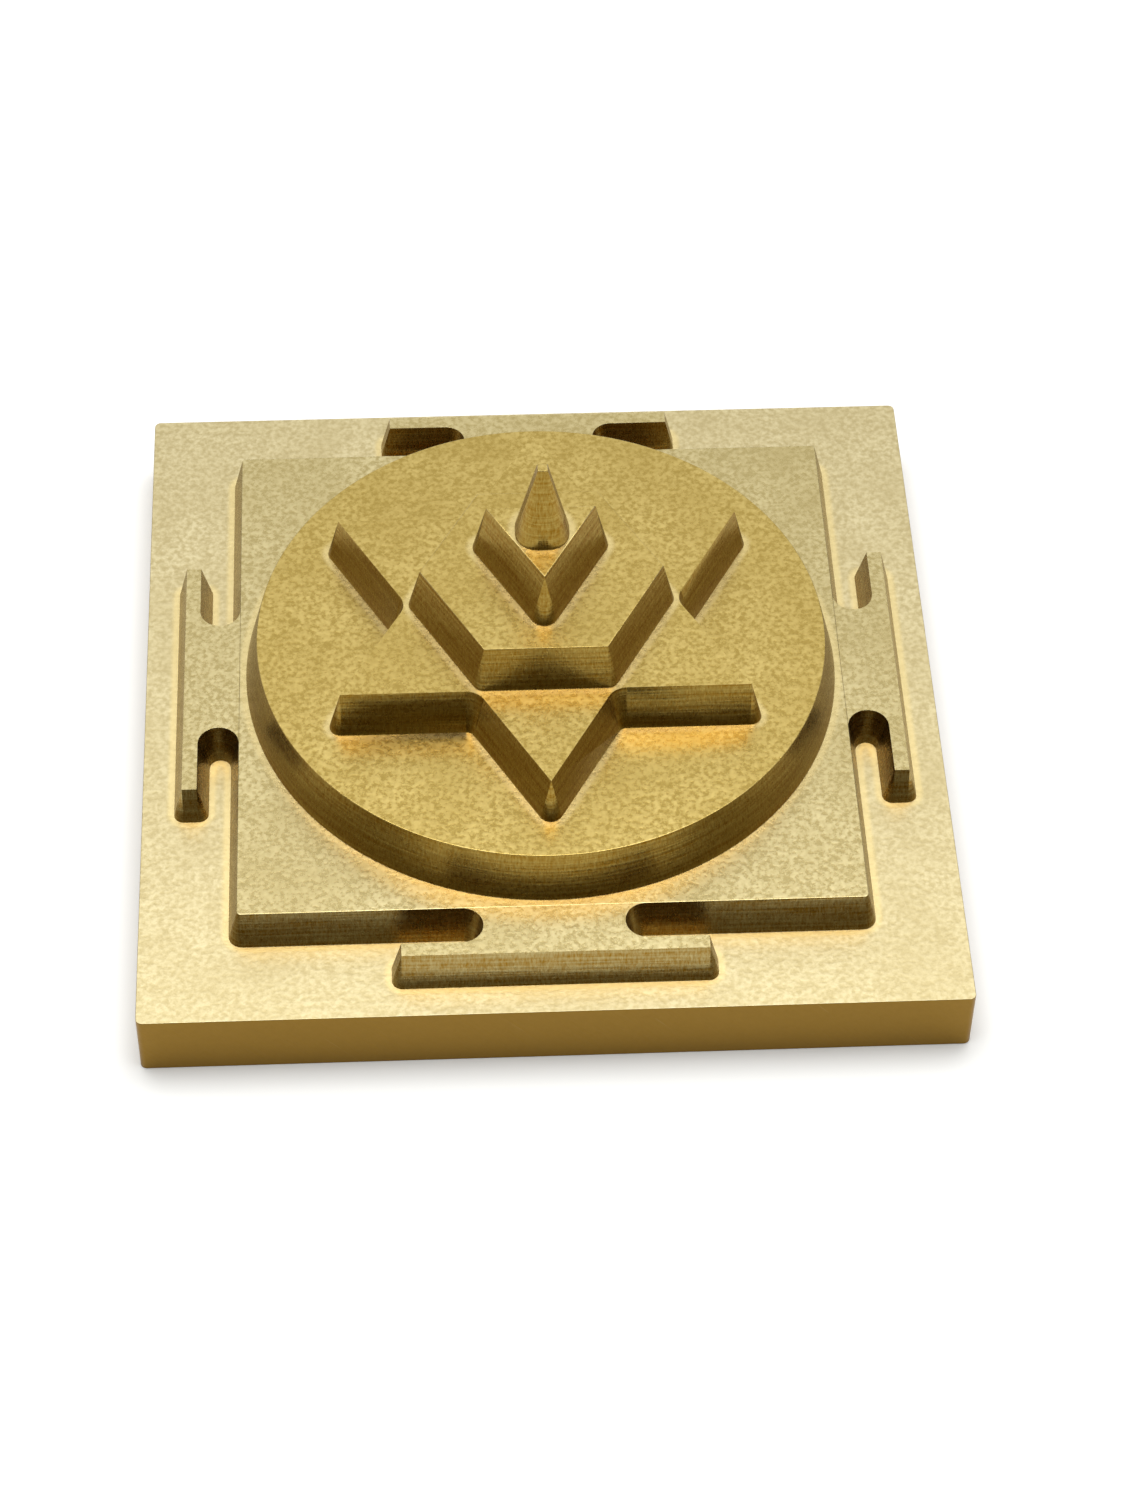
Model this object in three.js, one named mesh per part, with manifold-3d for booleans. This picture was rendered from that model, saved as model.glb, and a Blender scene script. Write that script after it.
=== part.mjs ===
// Kuber yantra: a square brass block milled in stepped tiers with a tapered cutter.
// Millimetres, +Z up, centred on X and Y, with the underside at z = 0 and the front towards -Y.
import * as THREE from 'three';
import { ConvexGeometry } from 'three/addons/geometries/ConvexGeometry.js';
import { mergeVertices } from 'three/addons/utils/BufferGeometryUtils.js';
import Module from 'manifold-3d';

// Driving dimensions
const HALF_WIDTH = 25.4;
const PLATE_HEIGHT = 4.6;
const PLATE_CORNER = 0.4;
const SQUARE_HALF = 19.25;
const SQUARE_HEIGHT = 2.5;
const SQUARE_CORNER = 0.25;
const GATE_BAR_INNER = 21.83;
const GATE_BAR_OUTER = 22.76;
const GATE_BAR_HALF_LENGTH = 9.32;
const GATE_NECK_HALF = 4.31;
const DISC_RADIUS = 18;
const DISC_HEIGHT = 3.3;
const STAR_RADIUS = 14.65;
const STAR_HEIGHT = 3;
const HEXAGON_HEIGHT = 3;
const SMALL_TRIANGLE_RADIUS = 3.9;
const SMALL_TRIANGLE_HEIGHT = 3.5;
const BINDU_TOP_HALF = 0.31;
const BINDU_HEIGHT = 5.5;

// The cutter: its flat tip's radius, and how far its side leans out for each mm of height
const TIP_RADIUS = 0.54;
const LEAN = 0.25;

// Facets of round forms
const DISC_SEGMENTS = 144;
const CORNER_SEGMENTS = 24;
const CUTTER_SEGMENTS = 40;
const CLEAR = 1;

// Levels of the flat steps
const Z_PLATE = PLATE_HEIGHT;
const Z_SQUARE = Z_PLATE + SQUARE_HEIGHT;
const Z_DISC = Z_SQUARE + DISC_HEIGHT;
const Z_STAR = Z_DISC + STAR_HEIGHT;
const Z_HEXAGON = Z_STAR + HEXAGON_HEIGHT;
const Z_SMALL_TRIANGLE = Z_HEXAGON + SMALL_TRIANGLE_HEIGHT;

const wasm = await Module();
wasm.setup();

// Turns a three.js geometry into a solid that can be cut and joined.
function toSolid(geometry) {
  const plain = geometry.clone();
  plain.deleteAttribute('normal');
  plain.deleteAttribute('uv');
  const merged = mergeVertices(plain, 1e-4);
  const mesh = new wasm.Mesh({
    numProp: 3,
    vertProperties: new Float32Array(merged.attributes.position.array),
    triVerts: new Uint32Array(merged.index.array),
  });
  return new wasm.Manifold(mesh);
}

// Turns a solid back into a three.js geometry.
function toGeometry(solid) {
  const mesh = solid.getMesh();
  const geometry = new THREE.BufferGeometry();
  geometry.setAttribute('position', new THREE.BufferAttribute(new Float32Array(mesh.vertProperties), 3));
  geometry.setIndex(new THREE.BufferAttribute(new Uint32Array(mesh.triVerts), 1));
  geometry.computeVertexNormals();
  return geometry;
}

function point(x, y, z) {
  return new THREE.Vector3(x, y, z);
}

// Points of a full circle around a centre, at one level.
function ring(x, y, radius, z, segments) {
  const points = [];
  for (let i = 0; i < segments; i += 1) {
    const turn = (i / segments) * Math.PI * 2;
    points.push(point(x + radius * Math.cos(turn), y + radius * Math.sin(turn), z));
  }
  return points;
}

// A convex step: its sharp top outline, and a foot that the leaning cutter left further out
// all round, with a cone under each top corner.
function leaningStep(outline, zFoot, height, cornerRadius = 0) {
  const points = [];
  for (const [x, y] of outline) {
    if (cornerRadius > 0) {
      points.push(...ring(x, y, cornerRadius, zFoot + height, CORNER_SEGMENTS));
    } else {
      points.push(point(x, y, zFoot + height));
    }
    points.push(...ring(x, y, cornerRadius + height * LEAN, zFoot, CORNER_SEGMENTS));
  }
  return toSolid(new ConvexGeometry(points));
}

// A regular polygon's corners, the first one at the given turn from +X.
function polygon(radius, sides, firstTurn) {
  const corners = [];
  for (let i = 0; i < sides; i += 1) {
    const turn = firstTurn + (i / sides) * Math.PI * 2;
    corners.push([radius * Math.cos(turn), radius * Math.sin(turn)]);
  }
  return corners;
}

function rectangle(xLow, yLow, xHigh, yHigh) {
  return [[xLow, yLow], [xHigh, yLow], [xHigh, yHigh], [xLow, yHigh]];
}

// The space that the turning cutter sweeps where it stands still.
function cutter(x, y, zFoot, height, footRadius) {
  const over = height + CLEAR;
  const under = footRadius - CLEAR * LEAN;
  const full = footRadius + over * LEAN;
  const geometry = new THREE.CylinderGeometry(full, under, over + CLEAR, CUTTER_SEGMENTS);
  geometry.rotateX(Math.PI / 2);
  geometry.translate(x, y, zFoot + (over - CLEAR) / 2);
  return toSolid(geometry);
}

function basePlate() {
  const inset = HALF_WIDTH - PLATE_CORNER;
  const points = [];
  for (const [x, y] of rectangle(-inset, -inset, inset, inset)) {
    points.push(...ring(x, y, PLATE_CORNER, 0, CORNER_SEGMENTS));
    points.push(...ring(x, y, PLATE_CORNER, Z_PLATE, CORNER_SEGMENTS));
  }
  return toSolid(new ConvexGeometry(points));
}

function squareStep() {
  const inset = SQUARE_HALF - SQUARE_CORNER;
  const outline = rectangle(-inset, -inset, inset, inset);
  return leaningStep(outline, Z_PLATE, SQUARE_HEIGHT, SQUARE_CORNER);
}

// One gate: a bar outside the square, and the neck left between the two slots.
function gate(square, turn) {
  const run = SQUARE_HEIGHT * LEAN;
  const slotRadius = (GATE_BAR_INNER - SQUARE_HALF) / 2;
  const slotMiddle = SQUARE_HALF + slotRadius;
  const slotEnd = GATE_NECK_HALF + slotRadius;
  const barOutline = rectangle(-GATE_BAR_HALF_LENGTH, GATE_BAR_INNER, GATE_BAR_HALF_LENGTH, GATE_BAR_OUTER);
  const bar = leaningStep(barOutline, Z_PLATE, SQUARE_HEIGHT);
  const neckDepth = GATE_BAR_INNER - SQUARE_HALF + CLEAR;
  const neckBox = new THREE.BoxGeometry(slotEnd * 2, neckDepth, SQUARE_HEIGHT);
  neckBox.translate(0, SQUARE_HALF - CLEAR / 2 + neckDepth / 2, Z_PLATE + SQUARE_HEIGHT / 2);
  let solid = bar.add(toSolid(neckBox));
  for (const side of [-1, 1]) {
    solid = solid.subtract(cutter(side * slotEnd, slotMiddle, Z_PLATE, SQUARE_HEIGHT, slotRadius - run));
  }
  return solid.rotate([0, 0, turn]).subtract(square);
}

function discStep() {
  const foot = DISC_RADIUS + DISC_HEIGHT * LEAN;
  const geometry = new THREE.CylinderGeometry(DISC_RADIUS, foot, DISC_HEIGHT, DISC_SEGMENTS);
  geometry.rotateX(Math.PI / 2);
  geometry.translate(0, 0, Z_SQUARE + DISC_HEIGHT / 2);
  return toSolid(geometry);
}

// The round valley that the cutter left where two points of the star meet.
function starValley(turn) {
  const run = STAR_HEIGHT * LEAN;
  const halfAngle = Math.PI / 3;
  const corner = STAR_RADIUS / Math.sqrt(3);
  const middle = corner + (run + TIP_RADIUS) / Math.sin(halfAngle);
  const points = [];
  for (const [z, radius] of [[Z_DISC, TIP_RADIUS], [Z_STAR, TIP_RADIUS + run]]) {
    const along = radius * Math.sin(halfAngle);
    const across = radius * Math.cos(halfAngle);
    points.push(point(corner - CLEAR, 0, z));
    points.push(point(middle, 0, z));
    points.push(point(middle - along, across, z));
    points.push(point(middle - along, -across, z));
  }
  const wedge = toSolid(new ConvexGeometry(points));
  const cone = cutter(middle, 0, Z_DISC, STAR_HEIGHT, TIP_RADIUS);
  return wedge.subtract(cone).rotate([0, 0, turn]);
}

function starStep() {
  const up = leaningStep(polygon(STAR_RADIUS, 3, Math.PI / 2), Z_DISC, STAR_HEIGHT);
  const down = leaningStep(polygon(STAR_RADIUS, 3, -Math.PI / 2), Z_DISC, STAR_HEIGHT);
  let solid = up.add(down);
  for (let turn = 0; turn < 360; turn += 60) {
    solid = solid.add(starValley(turn));
  }
  return solid;
}

// The hexagon's foot runs through the star's inner corners.
function hexagonStep() {
  const run = HEXAGON_HEIGHT * LEAN;
  const footInner = STAR_RADIUS / 2;
  const topRadius = (footInner - run) / Math.cos(Math.PI / 6);
  return leaningStep(polygon(topRadius, 6, 0), Z_STAR, HEXAGON_HEIGHT);
}

function smallTriangleStep() {
  const outline = polygon(SMALL_TRIANGLE_RADIUS, 3, -Math.PI / 2);
  return leaningStep(outline, Z_HEXAGON, SMALL_TRIANGLE_HEIGHT);
}

function binduPeak() {
  const outline = rectangle(-BINDU_TOP_HALF, -BINDU_TOP_HALF, BINDU_TOP_HALF, BINDU_TOP_HALF);
  return leaningStep(outline, Z_SMALL_TRIANGLE, BINDU_HEIGHT);
}

function brass(colour, roughness) {
  return new THREE.MeshStandardMaterial({ color: colour, roughness, metalness: 1 });
}

function addNode(group, name, solid, colour, roughness) {
  const mesh = new THREE.Mesh(toGeometry(solid), brass(colour, roughness));
  mesh.name = name;
  group.add(mesh);
}

const yantra = new THREE.Group();
yantra.name = 'kuber_yantra';
const square = squareStep();
addNode(yantra, 'base_plate', basePlate(), '#b79c5e', 0.42);
addNode(yantra, 'bhupura_square', square, '#bfa768', 0.4);
addNode(yantra, 'gate_back', gate(square, 0), '#bda465', 0.4);
addNode(yantra, 'gate_left', gate(square, 90), '#bda465', 0.4);
addNode(yantra, 'gate_front', gate(square, 180), '#bda465', 0.4);
addNode(yantra, 'gate_right', gate(square, 270), '#bda465', 0.4);
addNode(yantra, 'circle_disc', discStep(), '#b99b55', 0.4);
addNode(yantra, 'hexagram_star', starStep(), '#b4964f', 0.38);
addNode(yantra, 'hexagon_step', hexagonStep(), '#b99d58', 0.38);
addNode(yantra, 'inner_triangle', smallTriangleStep(), '#bca25f', 0.36);
addNode(yantra, 'bindu_peak', binduPeak(), '#a98c46', 0.34);

export default yantra;
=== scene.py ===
"""Kuber yantra: a stepped block of milled brass on a pale floor."""
import logging
import math
from dataclasses import dataclass
from enum import Enum

import bmesh
import bpy
from mathutils import Matrix, Vector


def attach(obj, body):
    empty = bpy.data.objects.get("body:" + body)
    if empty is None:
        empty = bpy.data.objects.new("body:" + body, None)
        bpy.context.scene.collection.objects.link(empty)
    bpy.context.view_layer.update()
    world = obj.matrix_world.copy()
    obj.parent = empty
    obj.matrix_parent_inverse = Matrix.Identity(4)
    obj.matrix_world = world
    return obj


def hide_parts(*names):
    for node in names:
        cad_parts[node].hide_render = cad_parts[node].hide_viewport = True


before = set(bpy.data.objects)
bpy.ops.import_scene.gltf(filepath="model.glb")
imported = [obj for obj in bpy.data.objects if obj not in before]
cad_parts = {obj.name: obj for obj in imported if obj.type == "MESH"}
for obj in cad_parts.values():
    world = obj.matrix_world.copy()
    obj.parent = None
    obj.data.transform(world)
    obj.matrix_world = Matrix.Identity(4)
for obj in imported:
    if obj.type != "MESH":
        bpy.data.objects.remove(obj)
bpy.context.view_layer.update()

MM = 0.001
LOG = logging.getLogger("kuber_yantra")


def linear(hex_colour: str) -> tuple:
    """Turn an sRGB hex colour into a linear RGBA tuple.

    Args:
        hex_colour: six hex digits after a hash sign.

    Returns:
        Linear red, green, blue and an alpha of one.
    """
    parts = [int(hex_colour[i:i + 2], 16) / 255 for i in (1, 3, 5)]
    values = [c / 12.92 if c <= 0.04045 else ((c + 0.055) / 1.055) ** 2.4 for c in parts]
    return (*values, 1.0)


class Surface(Enum):
    """Which way a step's metal was cut."""
    SAWN = "sawn"
    MILLED = "milled"


@dataclass(frozen=True)
class MilledBrass:
    """Brass cut with a small end mill: mottled flats and finely lined walls, the walls given a darker
    colour as painted shade.
    """
    name: str
    flat_dark: str
    flat_light: str
    painted_shade_wall: str
    surface: Surface = Surface.MILLED
    roughness: float = 0.27
    mottle_mm: float = 0.3
    pass_mm: float = 0.16
    band_mm: float = 0.6
    foot_strip: str = "#dcc88e"
    relief: float = 0.35
    relief_mm: float = 0.03

    def node(self, tree: bpy.types.NodeTree, kind: str, inputs: dict | None = None,
             **settings: object) -> bpy.types.Node:
        """Add one shader node.

        Args:
            tree: the node tree that takes the node.
            kind: the node's Blender type.
            inputs: socket name or number to a value or an output socket.
            settings: node properties to set.

        Returns:
            The new node.
        """
        made = tree.nodes.new(kind)
        for key, value in settings.items():
            setattr(made, key, value)
        for key, value in (inputs or {}).items():
            if isinstance(value, bpy.types.NodeSocket):
                tree.links.new(value, made.inputs[key])
            else:
                made.inputs[key].default_value = value
        return made

    def noise(self, tree: bpy.types.NodeTree, coords: bpy.types.NodeSocket, size_mm: tuple,
              detail: float) -> bpy.types.NodeSocket:
        """Add noise with cells of a real size.

        Args:
            tree: the node tree that takes the nodes.
            coords: the coordinates to read.
            size_mm: the cell's size on each axis.
            detail: how many finer layers are added.

        Returns:
            The noise value's socket.
        """
        scale = tuple(1 / (size * MM) for size in size_mm)
        mapping = self.node(tree, "ShaderNodeMapping", {"Vector": coords, "Scale": scale})
        settings = {"Vector": mapping.outputs[0], "Scale": 1.0, "Detail": detail}
        return self.node(tree, "ShaderNodeTexNoise", settings).outputs[0]

    def mix(self, tree: bpy.types.NodeTree, factor: bpy.types.NodeSocket, first: object,
            second: object) -> bpy.types.NodeSocket:
        """Mix two colours.

        Args:
            tree: the node tree that takes the node.
            factor: zero gives the first colour and one the second.
            first: a colour or its socket.
            second: a colour or its socket.

        Returns:
            The mixed colour's socket.
        """
        made = self.node(tree, "ShaderNodeMix", {0: factor, 6: first, 7: second}, data_type="RGBA")
        return made.outputs[2]

    def build(self) -> bpy.types.Material:
        """Build the node material.

        Returns:
            The finished material.
        """
        material = bpy.data.materials.new(self.name)
        material.use_nodes = True
        tree = material.node_tree
        shader = tree.nodes["Principled BSDF"]
        coords = self.node(tree, "ShaderNodeTexCoord").outputs["Object"]
        normal = self.node(tree, "ShaderNodeNewGeometry").outputs["True Normal"]
        facing = self.node(tree, "ShaderNodeSeparateXYZ", {0: normal}).outputs[2]
        is_flat = self.node(tree, "ShaderNodeMapRange", {0: facing, 1: 0.5, 2: 0.9}).outputs[0]
        mottle = self.noise(tree, coords, (self.mottle_mm,) * 3, 4.0)
        cloud = self.noise(tree, coords, (5.0, 5.0, 5.0), 3.0)
        spread = self.node(tree, "ShaderNodeMapRange", {0: mottle, 1: 0.36, 2: 0.64}).outputs[0]
        flat = self.mix(tree, spread, linear(self.flat_dark), linear(self.flat_light))
        tinted = self.mix(tree, cloud, flat, linear(self.flat_dark))
        layers = self.noise(tree, coords, (6.0, 6.0, self.pass_mm), 2.0)
        strokes = self.noise(tree, coords, (0.1, 0.1, 4.0), 2.0)
        lines = self.node(tree, "ShaderNodeMath", {0: layers, 1: strokes}, operation="ADD").outputs[0]
        if self.surface is Surface.SAWN:
            turned = self.node(tree, "ShaderNodeMapping", {"Vector": coords, "Rotation": (0.0, 0.7, 0.0)})
            lines = self.noise(tree, turned.outputs[0], (0.25, 9.0, 5.0), 3.0)
        band = self.node(tree, "ShaderNodeMapRange", {0: lines, 1: 0.7, 2: 1.3}).outputs[0]
        # Steep walls take a darker base colour than the flats: painted shade, with the tool lines mixed in
        # as real marks.
        painted_shade_wall = self.mix(tree, band, linear(self.painted_shade_wall), linear(self.flat_dark))
        nearness = self.node(tree, "ShaderNodeAmbientOcclusion", {"Distance": self.band_mm * MM}, samples=8)
        open_to_foot = {0: nearness.outputs["AO"], 1: 0.97, 2: 0.9, 4: 0.65}
        strip = self.node(tree, "ShaderNodeMapRange", open_to_foot)
        banded = self.mix(tree, strip.outputs[0], tinted, linear(self.foot_strip))
        # The normal's tilt picks the darker painted-shade colour for walls and the mottled colour for
        # flats.
        colour = self.mix(tree, is_flat, painted_shade_wall, banded)
        tree.links.new(colour, shader.inputs["Base Color"])
        relief = self.mix(tree, is_flat, lines, mottle)
        depth = {"Strength": self.relief, "Distance": self.relief_mm * MM, "Height": relief}
        bump = self.node(tree, "ShaderNodeBump", depth)
        tree.links.new(bump.outputs[0], shader.inputs["Normal"])
        limits = {0: mottle, 3: self.roughness - 0.08, 4: self.roughness + 0.1}
        rough = self.node(tree, "ShaderNodeMapRange", limits)
        tree.links.new(rough.outputs[0], shader.inputs["Roughness"])
        shader.inputs["Metallic"].default_value = 1.0
        return material


@dataclass
class Step:
    """One step of the block: its solid's form with every edge just broken."""
    node: str
    finish: MilledBrass
    edge_mm: float = 0.04
    smooth_deg: float = 22.0

    def build(self) -> bpy.types.Object:
        """Build the step's piece, dress it and put it in place of its solid.

        Returns:
            The finished piece.
        """
        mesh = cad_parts[self.node].data.copy()
        form = bmesh.new()
        form.from_mesh(mesh)
        bmesh.ops.remove_doubles(form, verts=form.verts, dist=0.001 * MM)
        bmesh.ops.dissolve_limit(form, angle_limit=math.radians(0.5), verts=form.verts, edges=form.edges)
        form.to_mesh(mesh)
        form.free()
        mesh.materials.clear()
        mesh.materials.append(self.finish.build())
        for face in mesh.polygons:
            face.use_smooth = True
        mesh.set_sharp_from_angle(angle=math.radians(self.smooth_deg))
        piece = bpy.data.objects.new(f"{self.node}_milled", mesh)
        bpy.context.scene.collection.objects.link(piece)
        broken = piece.modifiers.new("broken_edge", "BEVEL")
        broken.width = self.edge_mm * MM
        broken.segments = 2
        broken.limit_method = "ANGLE"
        broken.angle_limit = math.radians(28)
        broken.harden_normals = True
        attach(piece, "root")
        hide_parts(self.node)
        return piece


@dataclass
class Studio:
    """Pale floor, soft light from above and the camera at the photo's angle."""
    lens_mm: float = 91.86
    sensor_mm: float = 36.0
    target_mm: tuple = (1.204, -4.841, 4.6)
    distance_mm: float = 243.9
    yaw_deg: float = -3.25
    pitch_deg: float = 49.97
    roll_deg: float = 0.92
    front_level: float = 0.06
    back_level: float = 0.75
    softboxes: tuple = (("overhead", (0, 0.05, 0.6), 0.45, 3.4), ("behind", (0, 0.75, 0.7), 0.6, 0.4))

    def camera(self) -> None:
        """Place the camera and make it the scene's own."""
        pitch = math.radians(self.pitch_deg)
        right = Vector((1, 0, 0))
        ahead = Vector((0, math.cos(pitch), -math.sin(pitch)))
        down = ahead.cross(right)
        rows = Matrix((right, down, ahead))
        turn = Matrix.Rotation(math.radians(self.yaw_deg), 3, "Z").transposed()
        roll = Matrix.Rotation(math.radians(self.roll_deg), 3, "Z")
        view = roll @ rows @ turn
        axes = Matrix((view[0], -view[1], -view[2])).transposed()
        place = (Vector(self.target_mm) - view[2] * self.distance_mm) * MM
        data = bpy.data.cameras.new("photo_camera")
        data.sensor_fit = "VERTICAL"
        data.sensor_height = self.sensor_mm
        data.lens = self.lens_mm
        data.clip_start = 0.01
        seat = bpy.data.objects.new("photo_camera", data)
        seat.matrix_world = Matrix.Translation(place) @ axes.to_4x4()
        bpy.context.scene.collection.objects.link(seat)
        bpy.context.scene.camera = seat

    def floor(self) -> None:
        """Lay the pale floor under the part."""
        mesh = bpy.data.meshes.new("floor")
        form = bmesh.new()
        bmesh.ops.create_grid(form, x_segments=1, y_segments=1, size=2.0)
        form.to_mesh(mesh)
        form.free()
        paint = bpy.data.materials.new("matt_white_board")
        paint.use_nodes = True
        shader = paint.node_tree.nodes["Principled BSDF"]
        shader.inputs["Base Color"].default_value = linear("#f7f7f5")
        shader.inputs["Roughness"].default_value = 0.9
        mesh.materials.append(paint)
        sheet = bpy.data.objects.new("floor", mesh)
        bpy.context.scene.collection.objects.link(sheet)

    def light(self) -> None:
        """Light the part from above and behind, with a dim room in front."""
        world = bpy.data.worlds.new("studio")
        world.use_nodes = True
        tree = world.node_tree
        backdrop = tree.nodes["Background"]
        backdrop.inputs[0].default_value = linear("#eeeeec")
        direction = tree.nodes.new("ShaderNodeTexCoord").outputs["Generated"]
        split = tree.nodes.new("ShaderNodeSeparateXYZ")
        tree.links.new(direction, split.inputs[0])
        depth = tree.nodes.new("ShaderNodeMapRange")
        depth.inputs[1].default_value = -0.95
        depth.inputs[2].default_value = 0.1
        depth.inputs[3].default_value = self.front_level
        depth.inputs[4].default_value = self.back_level
        tree.links.new(split.outputs[1], depth.inputs[0])
        tree.links.new(depth.outputs[0], backdrop.inputs[1])
        bpy.context.scene.world = world
        for name, place, size, power in self.softboxes:
            data = bpy.data.lights.new(name, "AREA")
            data.size = size
            data.energy = power
            lamp = bpy.data.objects.new(name, data)
            lamp.location = place
            lamp.rotation_euler = (-Vector(place)).to_track_quat("-Z", "Y").to_euler()
            bpy.context.scene.collection.objects.link(lamp)


# One brass in two colours. The upper steps' yellower flats and the paler flats of the lower steps and the
# sawn bar are painted reflection, and the darker wall colours are painted shade.
SAWN_SIDES = MilledBrass("brass_sawn_bar", "#b5a67a", "#d6cba4", "#8a6a26", Surface.SAWN, 0.4)
PALE_PAINTED_REFLECTION = MilledBrass("brass_pale_painted_reflection", "#b3a26e", "#dacd9e", "#8f6a1c")
WARM_PAINTED_REFLECTION = MilledBrass("brass_warm_painted_reflection", "#ab924c", "#d6c07a", "#8a6416")


def build_steps() -> list:
    """Build every step from the plate up and return the pieces."""
    finishes = {"base_plate": SAWN_SIDES, "bhupura_square": PALE_PAINTED_REFLECTION}
    pieces = []
    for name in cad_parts:
        # Gates and the bhupura square take the pale painted-reflection colour, the plate its own pale
        # flats, the rest the warm painted-reflection colour.
        finish = PALE_PAINTED_REFLECTION if name.startswith("gate") else finishes.get(name, WARM_PAINTED_REFLECTION)
        pieces.append(Step(name, finish).build())
    return pieces


def main() -> None:
    """Build the studio and the part, and report the pieces."""
    logging.basicConfig(level=logging.INFO)
    bpy.context.scene.view_settings.view_transform = "Standard"
    studio = Studio()
    studio.camera()
    studio.floor()
    studio.light()
    pieces = build_steps()
    LOG.info("pieces: %s", ", ".join(piece.name for piece in pieces))


if __name__ == "__main__":
    main()
